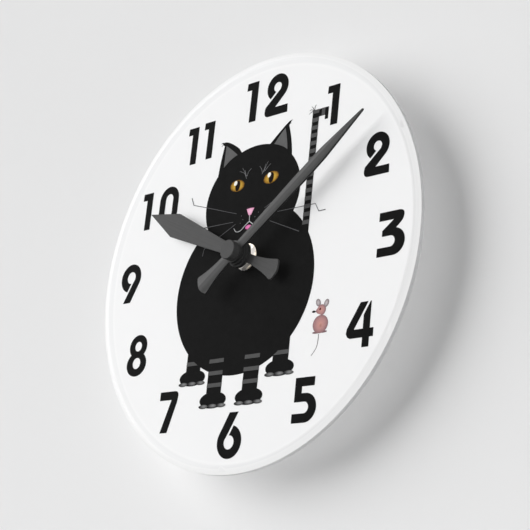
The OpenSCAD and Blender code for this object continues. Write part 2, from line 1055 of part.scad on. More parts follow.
module rear_cover() {
    color("#222222")
        difference() {
            union() {
                slab(0, cover_t)
                    translate([-inner + slip, wall_z + wall_t + slip])
                        square([2 * inner - 2 * slip, inner - wall_z - wall_t - 2 * slip]);
                at(knob_c)
                    rod(cup_r, 0, cup_floor);
                for (c = [[0, 0], motion_c, third_c, fifth_c, rotor_c])
                    at(c)
                        rod(1.5, 0, cover_t + 0.4);
                // shoulders and pins that carry the circuit board
                for (c = board_pins)
                    at(c) {
                        rod(1.6, 0, board_depth[0]);
                        rod(pin_r, 0, board_depth[1] + 0.6);
                    }
            }
            at(knob_c) {
                rod(cup_r - 1, -1, cup_floor - 0.9);
                rod(stem_r + run, 0, cup_floor + 1);
            }
            for (c = [[0, 0], motion_c, third_c, fifth_c])
                at(c)
                    rod(pivot_r + run, back_stop - 0.1, cover_t + 1);
            at(rotor_c)
                rod(0.4 + run, back_stop - 0.1, cover_t + 1);
        }
}

// ---------- power ----------

contact_t = 0.4;
cell_x = inner - 0.5 - cell_len;    // flat, negative end
cell_depth = case_d - bay_depth;

module battery() {
    body = cell_len - 1.6;
    end_r = cell_r - 0.15;
    color("goldenrod")
        translate([cell_x, -cell_depth, bay_z])
            rotate([0, 90, 0])
                union() {
                    cylinder(r = end_r, h = 0.5);
                    translate([0, 0, 0.4])
                        cylinder(r = cell_r, h = body - 0.8);
                    translate([0, 0, body - 0.5])
                        cylinder(r = end_r, h = 0.5);
                    translate([0, 0, body - 0.1])
                        cylinder(r = 2.6, h = 1.7);
                }
}

// A flat plate behind the button, with a tongue that runs up to the circuit board
module positive_contact() {
    x = inner - 0.05 - contact_t;
    foot_z = 18;
    color("silver")
        union() {
            translate([x, -cell_depth - 4, bay_z - 5])
                cube([contact_t, 8, 10]);
            translate([x, -tongue_depth[1], bay_z])
                cube([contact_t, tongue_depth[1] - tongue_depth[0], foot_z + 3 - bay_z]);
            translate([x, -tongue_depth[1], foot_z])
                cube([contact_t, tongue_depth[1] - board_depth[1], 3]);
            translate([board[2] - 1, -board_depth[1] - contact_t, foot_z])
                cube([x + contact_t - board[2] + 1, contact_t, 3]);
        }
}

// A leaf spring that presses on the flat end, with a tongue past the wall of the bay
module negative_contact() {
    x = cell_x - 0.05;
    wall_x = 0.05 - inner;
    color("silver")
        union() {
            translate([0, -cell_depth + 3, bay_z])
                rotate([90, 0, 0])
                    linear_extrude(6)
                        polygon([
                            [wall_x, -6], [wall_x + contact_t, -6], [wall_x + contact_t, 2.2],
                            [x - 0.65, 5.2], [x - 0.35, 3.3], [x - 0.35, -1], [x, -1], [x, 3.6],
                            [x - 0.4, 6], [wall_x, 2.5]
                        ]);
            translate([wall_x, -lead_depth[1], bay_z - 6])
                cube([contact_t, lead_depth[1] - lead_depth[0], -bay_z]);
        }
}

// Insulated wire from the negative contact, round the case, to the circuit board
module negative_lead() {
    r = 0.4;
    depth = (lead_depth[0] + lead_depth[1]) / 2;
    left = 0.05 + contact_t + r - inner;
    top = inner - 0.7;
    color("#111111")
        wire([
            [left, -depth, -9],
            [left, -depth, top],
            [board[0] + 3, -depth, top],
            [board[0] + 3, -board_depth[1], top]
        ], r);
}

dial_plate();
numeral_print();
cat_print();
stripe_print();
eye_print();
nose_print();
mouse_print();
hex_nut();
brass_washer();
rubber_gasket();
threaded_bushing();
hour_hand();
minute_hand();
hand_cap();
movement_case();
rear_cover();
setting_knob();
setting_pinion();
hour_wheel();
minute_arbor();
intermediate_wheel();
centre_wheel();
third_wheel();
second_wheel();
fifth_wheel();
rotor_pinion();
rotor_magnet();
stator();
coil_core();
coil_bobbin();
coil_winding();
stator_screws();
circuit_board();
clock_chip();
quartz_crystal();
coil_leads();
positive_contact();
negative_contact();
negative_lead();
battery();
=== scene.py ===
import json
import math

import bmesh
import bpy
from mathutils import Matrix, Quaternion, Vector

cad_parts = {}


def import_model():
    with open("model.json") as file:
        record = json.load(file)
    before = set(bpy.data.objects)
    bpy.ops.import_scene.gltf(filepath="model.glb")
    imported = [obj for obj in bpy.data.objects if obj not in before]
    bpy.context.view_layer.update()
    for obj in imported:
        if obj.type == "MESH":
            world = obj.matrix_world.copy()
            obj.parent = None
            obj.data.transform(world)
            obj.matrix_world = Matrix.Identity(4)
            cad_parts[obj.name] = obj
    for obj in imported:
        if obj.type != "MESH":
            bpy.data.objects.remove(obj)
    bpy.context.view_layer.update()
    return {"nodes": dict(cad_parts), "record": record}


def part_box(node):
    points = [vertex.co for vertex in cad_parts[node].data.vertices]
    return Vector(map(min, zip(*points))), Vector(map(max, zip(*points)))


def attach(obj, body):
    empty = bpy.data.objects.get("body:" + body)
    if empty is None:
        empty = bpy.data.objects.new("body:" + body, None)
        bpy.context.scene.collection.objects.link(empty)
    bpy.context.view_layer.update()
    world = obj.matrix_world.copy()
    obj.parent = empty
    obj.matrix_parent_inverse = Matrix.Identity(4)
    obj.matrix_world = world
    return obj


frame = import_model()

# Round wall clock with a printed cat. Metres, +Z up, the dial faces -Y, and the
# origin is where the hand axis meets the wall. Sizes on the dial are in mm.
MM = 0.001
ROOT = "clock_body"
INK_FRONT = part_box("cat_print")[0].y         # front of the black ink
TOP_INK_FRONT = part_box("eye_print")[0].y     # front of the coloured ink
DIAL_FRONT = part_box("dial_plate")[0].y
DIAL_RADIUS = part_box("dial_plate")[1].x
LAYER_RADIUS = 96.8 * MM                     # white layer inside the clear acrylic
LAYER_DEPTH = 2.2 * MM                       # its depth under the front
FILM = 0.1 * MM                              # thickness of a printed film

# The picture's places and half-axes in mm, as (x, z) from the hand axis
EYES = [(-11.2, 37.4), (11.2, 37.4)]
EYE_HALF = (4.9, 3.0)
EYE_TILT = 6
MOUSE_BELLY = (50.65, -38.2)
MOUSE_HEAD = (50.3, -31.8)
MOUSE_EARS = [(48.4, -28.3, 25), (53.2, -29, -25)]      # x, z and tilt in degrees
MOUSE_EAR_HALF = (1.35, 1.9)
PAWS = [(-27.6, -58.2), (-12.1, -69.8), (11, -69.8), (28.5, -58.2)]
TOE_HALF = (2.95, 0.95)
TOE_SPACING = 5.85


# ---------- shader building ----------

class Shader:
    """A material whose nodes are added one by one, ending in one principled surface."""

    def __init__(self, name):
        self.material = bpy.data.materials.new(name)
        self.material.use_nodes = True
        self.tree = self.material.node_tree
        self.tree.nodes.clear()
        self.output = self.tree.nodes.new("ShaderNodeOutputMaterial")
        self.surface = self.node("BsdfPrincipled")
        self.tree.links.new(self.surface.outputs[0], self.output.inputs[0])
        self.place = self.node("TexCoord").outputs["Object"]

    def node(self, kind, **inputs):
        made = self.tree.nodes.new("ShaderNode" + kind)
        for key, value in inputs.items():
            self.put(made.inputs[key.replace("_", " ")], value)
        return made

    def put(self, socket, value):
        if isinstance(value, bpy.types.NodeSocket):
            self.tree.links.new(value, socket)
        elif isinstance(value, (tuple, list)) and len(value) == 3 and socket.type == "RGBA":
            socket.default_value = (*value, 1)
        else:
            socket.default_value = value

    def set(self, **inputs):
        for key, value in inputs.items():
            self.put(self.surface.inputs[key.replace("_", " ")], value)

    def math(self, operation, a, b=0.0):
        made = self.tree.nodes.new("ShaderNodeMath")
        made.operation = operation
        self.put(made.inputs[0], a)
        self.put(made.inputs[1], b)
        return made.outputs[0]

    def mix(self, factor, a, b):
        made = self.tree.nodes.new("ShaderNodeMix")
        made.data_type = "RGBA"
        self.put(made.inputs["Factor"], factor)
        self.put(made.inputs["A"], a)
        self.put(made.inputs["B"], b)
        return made.outputs["Result"]

    def ramp(self, factor, *stops):
        """Colours or greys against a factor; each stop is (position, colour)."""
        made = self.tree.nodes.new("ShaderNodeValToRGB")
        points = made.color_ramp.elements
        while len(points) < len(stops):
            points.new(0.5)
        for point, (position, colour) in zip(points, stops):
            point.position = position
            point.color = (*colour, 1) if isinstance(colour, tuple) else (colour, colour, colour, 1)
        self.put(made.inputs[0], factor)
        return made.outputs[0]

    def noise(self, scale, detail=3.0, place=None):
        """Fractal noise, with the scale in features per metre."""
        return self.node("TexNoise", Vector=place or self.place, Scale=scale, Detail=detail).outputs[0]

    def split(self):
        return self.node("SeparateXYZ", Vector=self.place).outputs

    def from_axis(self, x, z):
        """Distance from the hand axis, from the two coordinates across it."""
        length = self.node("VectorMath", Vector=self.node("CombineXYZ", X=x, Z=z).outputs[0])
        length.operation = "LENGTH"
        return length.outputs["Value"]

    def near(self, x, z, half_x, half_z, turn=0.0):
        """0 at a spot of the dial given in mm, 1 on the ellipse with these half-axes, and so on outwards."""
        moved = self.node("VectorMath")
        moved.operation = "SUBTRACT"
        self.put(moved.inputs[0], self.place)
        moved.inputs[1].default_value = (x * MM, 0, z * MM)
        turned = self.node("VectorRotate", Vector=moved.outputs[0])
        turned.rotation_type = "Y_AXIS"
        turned.inputs["Angle"].default_value = math.radians(turn)
        scaled = self.node("VectorMath")
        scaled.operation = "MULTIPLY"
        self.put(scaled.inputs[0], turned.outputs[0])
        scaled.inputs[1].default_value = (1 / (half_x * MM), 0, 1 / (half_z * MM))
        length = self.node("VectorMath")
        length.operation = "LENGTH"
        self.put(length.inputs[0], scaled.outputs[0])
        return length.outputs["Value"]

    def edges(self, radius):
        """Normals rounded over every edge, and a mask that is 1 on the edges."""
        rounded = self.node("Bevel", Radius=radius)
        rounded.samples = 6
        flat = self.node("NewGeometry")
        dot = self.node("VectorMath")
        dot.operation = "DOT_PRODUCT"
        self.put(dot.inputs[0], rounded.outputs[0])
        self.put(dot.inputs[1], flat.outputs["Normal"])
        mask = self.ramp(dot.outputs["Value"], (0.8, 1.0), (0.995, 0.0))
        return rounded.outputs[0], mask

    def bump(self, height, depth, normal=None):
        """Bumps of a real depth in metres."""
        made = self.node("Bump", Height=height, Distance=depth, Strength=1.0)
        if normal is not None:
            self.put(made.inputs["Normal"], normal)
        return made.outputs[0]

    def print_grain(self):
        """The fine grain of a printed film."""
        return self.bump(self.noise(9000, 2), 1.5e-6)


def shade(colour, factor):
    return tuple(min(1.0, c * factor) for c in colour)


def solid_material(name, colour, rough, *, metallic=0.0, specular=0.5, blotch=0.06, blotch_scale=90,
                   grain=4e-6, grain_scale=4000, edge=0.12 * MM, edge_light=1.35):
    """Plastic, paint or metal: slow blotches of tone, fine grain, rounded edges made slightly lighter, partly
    as scuffing and partly as a painted highlight.
    """
    s = Shader(name)
    rough_spread = 0.06
    tone = s.ramp(s.noise(blotch_scale), (0.3, shade(colour, 1 - blotch)), (0.7, shade(colour, 1 + blotch)))
    normal, mask = s.edges(edge)
    # Lighter edges broken by noise: partly scuffing, partly a painted highlight along the edges.
    scuffs_and_edge_highlights = s.math("MULTIPLY", mask, s.ramp(s.noise(blotch_scale * 9), (0.35, 0.15), (0.65, 1.0)))
    rough_noise = s.noise(blotch_scale * 4, 5)
    fine = s.noise(grain_scale, 2)
    s.set(Base_Color=s.mix(scuffs_and_edge_highlights, tone, shade(colour, edge_light)),
          Roughness=s.ramp(rough_noise, (0.3, max(0.02, rough - rough_spread)), (0.7, rough + rough_spread)),
          Metallic=metallic, Specular_IOR_Level=specular,
          Normal=s.bump(fine, grain, normal))
    return s.material


INK_SHEEN = 0.01


def ink_material(name, colour):
    """Flat printing ink: a slightly uneven tone and the grain of a printed film."""
    s = Shader(name)
    tone = s.ramp(s.noise(160, 4), (0.25, shade(colour, 0.9)), (0.75, shade(colour, 1.1)))
    s.set(Base_Color=tone, Roughness=s.ramp(s.noise(700, 3), (0.3, 0.5), (0.7, 0.62)),
          Specular_IOR_Level=INK_SHEEN, Normal=s.print_grain())
    return s.material


def linear(level):
    """Linear value of an 8-bit sRGB screen level."""
    share = level / 255
    return ((share + 0.055) / 1.055) ** 2.4 if share > 0.04 else share / 12.92


def screen(red, green, blue):
    return tuple(linear(level) for level in (red, green, blue))


def screen_grey(level):
    return screen(level, level, level)


# ---------- materials of the CAD nodes ----------

def stripe_material():
    """Grey ink, lighter inside the ears than on the bands of the tail and legs."""
    s = Shader("ink_grey")
    x, _, z = s.split()
    above_head = 45 * MM
    left_of_tail = 26 * MM
    ears = s.math("MULTIPLY", s.math("GREATER_THAN", z, above_head), s.math("LESS_THAN", x, left_of_tail))
    tone = s.mix(ears, screen_grey(85), screen_grey(100))
    tone = s.mix(s.ramp(s.noise(700, 4), (0.35, 0.15), (0.6, 0.0)), tone, screen_grey(60))
    s.set(Base_Color=tone, Roughness=0.56, Specular_IOR_Level=INK_SHEEN, Normal=s.print_grain())
    return s.material


def dial_material():
    """White acrylic: polished, with the faintest cloud in its white, a painted highlight ring at the edge of
    its white layer, and painted light (emission seen only by the camera) on its rounded edge and side, where
    the base colour is made dark. The white layer lies below the surface, so its outline shifts against the
    edge with the view."""
    s = Shader("dial_acrylic")
    view = s.node("NewGeometry").outputs["Incoming"]
    slope = s.node("SeparateXYZ", Vector=view).outputs
    longest = 6 * MM
    sight = s.math("MINIMUM", s.math("DIVIDE", LAYER_DEPTH, s.math("ABSOLUTE", slope[1])), longest)
    across = s.split()
    x = s.math("SUBTRACT", across[0], s.math("MULTIPLY", slope[0], sight))
    z = s.math("SUBTRACT", across[2], s.math("MULTIPLY", slope[2], sight))
    share = s.math("DIVIDE", s.from_axis(x, z), DIAL_RADIUS)
    start = LAYER_RADIUS / DIAL_RADIUS
    clear = s.ramp(share, (start - 0.002, 0.0), (start + 0.004, 1.0))
    # Painted highlight: a brighter ring just inside the edge of the white layer.
    line = s.ramp(share, (start - 0.016, 0.0), (start - 0.006, 1.0), (start + 0.002, 0.0))
    facing = s.node("SeparateXYZ", Vector=s.node("NewGeometry").outputs["True Normal"]).outputs[1]
    rounded = s.ramp(s.math("MULTIPLY", facing, -1.0), (-0.5, 0.0), (0.0, 1.0), (0.97, 1.0), (0.9995, 0.0))
    seen = s.node("LightPath").outputs["Is Camera Ray"]
    # Painted light: the rounded edge and side shine by emission that only the camera sees.
    painted_glow = s.math("MULTIPLY", s.math("MULTIPLY", rounded, 0.76), seen)
    cloud = s.ramp(s.noise(14, 2), (0.3, (0.825, 0.825, 0.827)), (0.7, (0.835, 0.835, 0.837)))
    white = s.mix(line, s.mix(clear, cloud, (0.8, 0.803, 0.806)), (0.85, 0.85, 0.85))
    # Where that painted light shines the base colour is made dark, so the edge's brightness is painted.
    s.set(Base_Color=s.mix(rounded, white, (0.08, 0.08, 0.08)),
          Roughness=s.ramp(s.noise(240, 3), (0.3, 0.3), (0.7, 0.38)), Specular_IOR_Level=0.12,
          Emission_Color=(1, 1, 1), Emission_Strength=painted_glow, Normal=s.bump(s.noise(90, 2), 6e-6))
    return s.material


def eye_material():
    """Amber iris: light in the middle, brown at the rim, with fine streaks."""
    s = Shader("ink_amber")
    left = s.near(*EYES[0], *EYE_HALF, -EYE_TILT)
    right = s.near(*EYES[1], *EYE_HALF, EYE_TILT)
    out = s.math("MINIMUM", left, right)
    streaks = s.math("MULTIPLY", s.math("SUBTRACT", s.noise(1500, 4), 0.5), 0.35)
    tone = s.ramp(s.math("ADD", out, streaks),
                  (0.2, screen(204, 172, 76)), (0.6, screen(188, 146, 52)),
                  (0.85, screen(150, 108, 30)), (1.0, screen(66, 44, 14)))
    s.set(Base_Color=tone, Roughness=0.5, Specular_IOR_Level=0.02, Normal=s.print_grain())
    return s.material


def nose_material():
    """Pale pink nose, and below it a stronger pink tongue."""
    s = Shader("ink_pink")
    upper = s.math("GREATER_THAN", s.split()[2], 18 * MM)
    fleck = s.math("MULTIPLY", s.math("SUBTRACT", s.noise(1400, 4), 0.5), 0.5)
    nose = s.ramp(s.math("ADD", s.near(-0.5, 22.6, 2.6, 2), fleck),
                  (0.2, screen(242, 186, 212)), (1.0, screen(218, 150, 184)))
    tongue = s.ramp(s.math("ADD", s.near(-0.7, 14.9, 2, 1.1), fleck),
                    (0.2, screen(234, 132, 186)), (1.0, screen(204, 96, 158)))
    s.set(Base_Color=s.mix(upper, tongue, nose), Roughness=0.5, Specular_IOR_Level=0.02,
          Normal=s.print_grain())
    return s.material


def mouse_material():
    """Dull rose, warmer in the middle of the belly and greyer towards the outline."""
    s = Shader("ink_rose")
    belly = s.near(*MOUSE_BELLY, 4.5, 4.3)
    head = s.near(*MOUSE_HEAD, 3.0, 2.7)
    ear_spots = [s.near(x, z, *MOUSE_EAR_HALF, tilt) for x, z, tilt in MOUSE_EARS]
    ears = s.math("MINIMUM", *ear_spots)
    body = s.math("MINIMUM", belly, head)
    speckle = s.math("MULTIPLY", s.math("SUBTRACT", s.noise(1300, 4), 0.5), 0.3)
    rose = s.ramp(s.math("ADD", body, speckle), (0.0, screen(200, 148, 138)), (0.55, screen(180, 134, 132)),
                  (0.9, screen(148, 114, 116)), (1.0, screen(122, 96, 100)))
    rose = s.mix(s.ramp(s.near(50.9, -38.9, 0.9, 1.2), (0.3, 0.45), (1.0, 0.0)), rose, screen(140, 96, 74))
    ear = s.ramp(ears, (0.2, screen(190, 182, 184)), (0.75, screen(146, 136, 138)),
                 (1.0, screen(108, 98, 100)))
    pick = s.ramp(s.math("SUBTRACT", ears, body), (0.0, 1.0), (0.06, 0.0))
    s.set(Base_Color=s.mix(pick, rose, ear), Roughness=0.5, Specular_IOR_Level=0.02,
          Normal=s.print_grain())
    return s.material


def turned_metal(name, colour, rough, metallic=1.0):
    """Metal with the fine rings that a lathe leaves round the hand axis."""
    s = Shader(name)
    ring_scale = 2600       # rings in a metre
    x, _, z = s.split()
    rings = s.math("SINE", s.math("MULTIPLY", s.from_axis(x, z), ring_scale * 2 * math.pi))
    uneven = s.math("MULTIPLY", rings, s.noise(900, 3))
    normal, mask = s.edges(0.12 * MM)
    tone = s.ramp(s.noise(300, 4), (0.3, shade(colour, 0.92)), (0.7, shade(colour, 1.06)))
    # Painted highlight: the edges are made lighter in colour.
    s.set(Base_Color=s.mix(mask, tone, shade(colour, 1.15)), Metallic=metallic,
          Roughness=s.ramp(s.noise(500, 4), (0.3, rough * 0.7), (0.7, rough * 1.3)),
          Normal=s.bump(uneven, 1.2e-6, normal))
    return s.material


def brushed_metal(name, colour, rough, along=(1, 1, 60)):
    """Sheet metal with a grain of its own in each direction, as along gives it."""
    s = Shader(name)
    stretched = s.node("Mapping", Vector=s.place)
    stretched.inputs["Scale"].default_value = along
    lines = s.noise(160, 5, stretched.outputs[0])
    normal, mask = s.edges(0.08 * MM)
    tone = s.ramp(lines, (0.3, shade(colour, 0.85)), (0.7, shade(colour, 1.1)))
    # Painted highlight: the edges are made lighter in colour.
    s.set(Base_Color=s.mix(mask, tone, shade(colour, 1.2)), Metallic=1.0,
          Roughness=s.ramp(lines, (0.3, rough * 0.8), (0.7, rough * 1.3)), Normal=s.bump(lines, 2e-6, normal))
    return s.material


def winding_material():
    """Layers of enamelled wire wound round the upright core; each turn is painted darker in its grooves and
    lighter on its crown, as painted shade and highlight.
    """
    s = Shader("copper_wire")
    wire = 0.16 * MM
    turns = s.math("SINE", s.math("MULTIPLY", s.split()[2], 2 * math.pi / wire))
    fine = s.math("ADD", turns, s.math("MULTIPLY", s.noise(2200, 3), 0.8))
    # Painted shade in the grooves between turns and painted highlight on their crowns.
    tone = s.ramp(fine, (0.0, screen(120, 58, 26)), (1.0, screen(205, 122, 66)))
    s.set(Base_Color=tone, Metallic=0.9, Roughness=0.32, Coat_Weight=0.5, Normal=s.bump(fine, 2e-5))
    return s.material


def board_material():
    """Green solder mask over faint copper tracks."""
    s = Shader("board_green")
    cells = s.node("TexBrick", Vector=s.place, Scale=160.0)
    cells.inputs["Color1"].default_value = (0.02, 0.17, 0.07, 1)
    cells.inputs["Color2"].default_value = (0.015, 0.12, 0.05, 1)
    cells.inputs["Mortar"].default_value = (0.05, 0.27, 0.12, 1)
    s.set(Base_Color=cells.outputs["Color"], Roughness=0.3, Normal=s.bump(cells.outputs["Fac"], 2e-5))
    return s.material


def cover_material():
    """Black plastic with marks cut in it: a frame line, a turning arrow round the knob, the marks of the
    ejector pins, and a plus and a minus sign over the ends of the battery."""
    s = Shader("rear_cover_plastic")
    x, _, z = s.split()
    low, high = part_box("rear_cover")
    centre, half = (low + high) / 2, (high - low) / 2

    def gap(a, b):
        return s.math("ABSOLUTE", s.math("SUBTRACT", a, b))

    def within(distance, width):
        return s.math("LESS_THAN", distance, width)

    def distance(at_x, at_z):
        return s.math("SQRT", s.math("ADD", s.math("POWER", s.math("SUBTRACT", x, at_x), 2.0),
                                     s.math("POWER", s.math("SUBTRACT", z, at_z), 2.0)))

    def bar(at_x, at_z, half_x, half_z):
        return s.math("MULTIPLY", within(gap(x, at_x), half_x), within(gap(z, at_z), half_z))

    inset = 2 * MM
    to_frame = s.math("MAXIMUM", s.math("SUBTRACT", gap(x, centre.x), half.x - inset),
                      s.math("SUBTRACT", gap(z, centre.z), half.z - inset))
    marks = [within(s.math("ABSOLUTE", to_frame), 0.2 * MM)]

    arrow_radius = 8.6 * MM
    arc_middle, arc_half = 0.4, 0.9      # angles of the arrow in radians
    neck, tip = 1.25, 1.6
    knob_low, knob_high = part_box("setting_knob")
    knob = (knob_low + knob_high) / 2
    angle = s.math("ARCTAN2", s.math("SUBTRACT", z, knob.z), s.math("SUBTRACT", knob.x, x))
    from_arc = gap(distance(knob.x, knob.z), arrow_radius)
    arc = s.math("MULTIPLY", within(from_arc, 0.35 * MM), within(gap(angle, arc_middle), arc_half))
    head_width = s.math("MULTIPLY", s.math("SUBTRACT", tip, angle), 3.5 * MM)
    head = s.math("MULTIPLY", within(from_arc, head_width), s.math("GREATER_THAN", angle, neck))
    marks += [arc, head]

    pin_radius = 1.6 * MM
    for pin_x, pin_z in ((-0.55, 0.55), (-0.55, -0.45), (0.72, -0.45)):
        ring = distance(centre.x + pin_x * half.x, centre.z + pin_z * half.z)
        marks.append(within(gap(ring, pin_radius), 0.12 * MM))

    minus_x, plus_x = low.x + 6 * MM, high.x - 6 * MM
    sign_z = low.z + 5 * MM
    long, short = 1.5 * MM, 0.3 * MM     # half the length and width of a sign's bar
    marks += [bar(minus_x, sign_z, long, short), bar(plus_x, sign_z, long, short),
              bar(plus_x, sign_z, short, long)]
    cut = marks[0]
    for mark in marks[1:]:
        cut = s.math("MAXIMUM", cut, mark)
    tone = s.ramp(s.noise(90), (0.3, (0.021, 0.021, 0.022)), (0.7, (0.024, 0.024, 0.025)))
    grain = s.bump(s.noise(1800, 2), 2.2e-5)
    s.set(Base_Color=s.mix(cut, tone, (0.06, 0.06, 0.062)),
          Roughness=s.ramp(s.noise(360, 5), (0.3, 0.44), (0.7, 0.56)),
          Normal=s.bump(s.math("SUBTRACT", 1.0, cut), 0.12 * MM, grain))
    return s.material


def battery_material():
    """Plain sleeve with one pale band, and bare steel at both ends."""
    s = Shader("battery_sleeve")
    low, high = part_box("battery")
    length = high.x - low.x
    share = s.math("DIVIDE", s.math("SUBTRACT", s.split()[0], low.x), length)
    steel = screen(176, 178, 180)
    blue = screen(40, 68, 92)
    sleeve = s.ramp(share, (0.0, steel), (0.035, screen(36, 62, 84)), (0.7, blue),
                    (0.705, screen(198, 200, 202)), (0.74, blue), (0.945, steel))
    sleeve.node.color_ramp.interpolation = "CONSTANT"
    metal = s.ramp(share, (0.0, 1.0), (0.035, 0.15), (0.945, 1.0))
    metal.node.color_ramp.interpolation = "CONSTANT"
    scuff = s.ramp(s.noise(800, 5), (0.35, 0.22), (0.7, 0.4))
    normal, _ = s.edges(0.2 * MM)
    s.set(Base_Color=sleeve, Metallic=metal, Roughness=scuff, Coat_Weight=0.25,
          Normal=s.bump(s.noise(300), 5e-6, normal))
    return s.material


HUB_RADIUS = 6.6 * MM
TONED_WIDTH = 6 * MM       # width over which a hand's tones are spread


def hand_material(name, clockwise, tones, tail_shade=0.0):
    """Dark grey satin paint on a thin metal hand, with fine lines along it; its pressed edge is drawn with
    rounded normals, a painted dark band and a painted highlight line, and its hub is a little darker as
    painted shade. clockwise is the hand's direction in degrees from 12, tones run from its left edge to its
    right (painted light and shade on the minute hand), and tail_shade sets how strongly the hub's shadow is
    painted on the tail next to the hub."""
    s = Shader(name)
    angle = math.radians(clockwise)
    x, _, z = s.split()
    along = s.math("ADD", s.math("MULTIPLY", x, math.sin(angle)), s.math("MULTIPLY", z, math.cos(angle)))
    across = s.math("SUBTRACT", s.math("MULTIPLY", x, math.cos(angle)),
                    s.math("MULTIPLY", z, math.sin(angle)))
    share = s.math("ADD", s.math("DIVIDE", across, TONED_WIDTH), 0.5)
    tone = s.ramp(share, *tones)
    lines = s.noise(1500, 3, s.node("CombineXYZ", X=across, Y=s.math("MULTIPLY", along, 0.02)).outputs[0])
    tone = s.mix(s.ramp(lines, (0.35, 0.14), (0.6, 0.0)), tone, (0.01, 0.01, 0.01))
    reach = s.math("DIVIDE", s.from_axis(x, z), 2 * HUB_RADIUS)
    # Painted shade: the colour is a little darker within the hub.
    hub = s.ramp(reach, (0.47, 0.1), (0.5, 0.0))
    # Painted shadow of the hub on the tail next to it, as strong as tail_shade.
    tail = s.math("MULTIPLY", s.ramp(reach, (0.5, 1.0), (0.75, 0.8), (0.86, 0.0)), tail_shade)
    tail = s.math("MULTIPLY", tail, s.math("LESS_THAN", along, 0.0))
    tone = s.mix(s.math("MAXIMUM", hub, tail), tone, (0.016, 0.016, 0.016))
    _, edge_shade_mask = s.edges(0.8 * MM)
    normal, mask = s.edges(0.25 * MM)
    # Painted shade: a dark band along the edges.
    tone = s.mix(s.math("MULTIPLY", edge_shade_mask, 0.25), tone, (0.02, 0.02, 0.02))
    # Painted highlight: a lighter line on the edges.
    tone = s.mix(s.math("MULTIPLY", mask, 0.5), tone, (0.09, 0.09, 0.09))
    s.set(Base_Color=tone, Roughness=s.ramp(s.noise(480, 4), (0.3, 0.46), (0.7, 0.56)),
          Specular_IOR_Level=0.08, Normal=s.bump(s.noise(6000, 2), 3e-6, normal))
    return s.material


EVEN_TONES = [(0.0, screen_grey(63)), (1.0, screen_grey(63))]
# Painted light and shade across the minute hand: lighter along its left edge, darker towards its right.
MINUTE_SHADE_TONES = [(0.0, screen_grey(84)), (0.28, screen_grey(84)), (0.38, screen_grey(64)),
                (0.62, screen_grey(62)), (0.85, screen_grey(48)), (1.0, screen_grey(44))]
HOUR_ANGLE, MINUTE_ANGLE = 294.8, 53      # degrees clockwise from 12

SLOT_MATERIALS = {
    "dial_acrylic": dial_material(),
    "ink_black": ink_material("ink_black", screen_grey(20)),
    "ink_grey": stripe_material(),
    "ink_amber": eye_material(),
    "ink_pink": nose_material(),
    "ink_rose": mouse_material(),
    "nickel_plate": turned_metal("nickel_plate", (0.86, 0.82, 0.77), 0.35, metallic=0.45),
    "washer_brass": turned_metal("washer_brass", (0.8, 0.72, 0.6), 0.35, metallic=0.5),
    "gasket_rubber": solid_material("gasket_rubber", (0.025, 0.025, 0.025), 0.75, grain=1.2e-5,
                                    grain_scale=2500),
    "bushing_brass": turned_metal("bushing_brass", (0.72, 0.54, 0.28), 0.28),
    "hand_grey": hand_material("hand_grey", HOUR_ANGLE, EVEN_TONES, 0.8),
    "black_plastic": solid_material("black_plastic", (0.022, 0.022, 0.023), 0.5, grain=2.2e-5,
                                    grain_scale=1800, edge=0.3 * MM, edge_light=1.8),
    "knob_plastic": solid_material("knob_plastic", (0.1, 0.1, 0.105), 0.45, grain=1.2e-5, grain_scale=2200,
                                   edge=0.2 * MM),
    "wheel_plastic": solid_material("wheel_plastic", (0.82, 0.81, 0.76), 0.35, blotch=0.02, edge_light=1.05,
                                    edge=0.06 * MM),
    "wheel_yellow": solid_material("wheel_yellow", (0.8, 0.66, 0.28), 0.35, blotch=0.03, edge_light=1.1,
                                   edge=0.06 * MM),
    "arbor_steel": brushed_metal("arbor_steel", (0.62, 0.62, 0.63), 0.25, (1, 60, 1)),
    "magnet_dark": solid_material("magnet_dark", (0.07, 0.07, 0.075), 0.4, metallic=0.8, grain=1e-5,
                                  grain_scale=3000),
    "motor_iron": brushed_metal("motor_iron", (0.45, 0.45, 0.46), 0.35),
    "bobbin_plastic": solid_material("bobbin_plastic", (0.78, 0.76, 0.68), 0.45, blotch=0.03, edge_light=1.1),
    "copper_wire": winding_material(),
    "screw_steel": brushed_metal("screw_steel", (0.6, 0.6, 0.61), 0.3),
    "board_green": board_material(),
    "chip_epoxy": solid_material("chip_epoxy", (0.012, 0.012, 0.012), 0.3, grain=2e-5, grain_scale=900),
    "crystal_can": brushed_metal("crystal_can", (0.75, 0.75, 0.76), 0.22, (60, 1, 1)),
    "contact_plate": brushed_metal("contact_plate", (0.72, 0.7, 0.66), 0.25),
    "lead_sleeve": solid_material("lead_sleeve", (0.02, 0.02, 0.02), 0.5),
    "battery_sleeve": battery_material(),
}

NODE_MATERIALS = {
    "minute_hand": hand_material("minute_hand_grey", MINUTE_ANGLE, MINUTE_SHADE_TONES),
    "hand_cap": hand_material("hand_cap_grey", 0, EVEN_TONES),
    "rear_cover": cover_material(),
}

for part in frame["record"]["subparts"]:
    slots = frame["nodes"][part["node"]].data.materials
    slots.clear()
    slots.append(NODE_MATERIALS.get(part["node"], SLOT_MATERIALS[part["material_slot"]]))


# ---------- fine lines and spots of the printed picture ----------

def new_piece(name, mesh, material):
    mesh.materials.append(material)
    piece = bpy.data.objects.new(name, mesh)
    bpy.context.scene.collection.objects.link(piece)
    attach(piece, ROOT)
    return piece


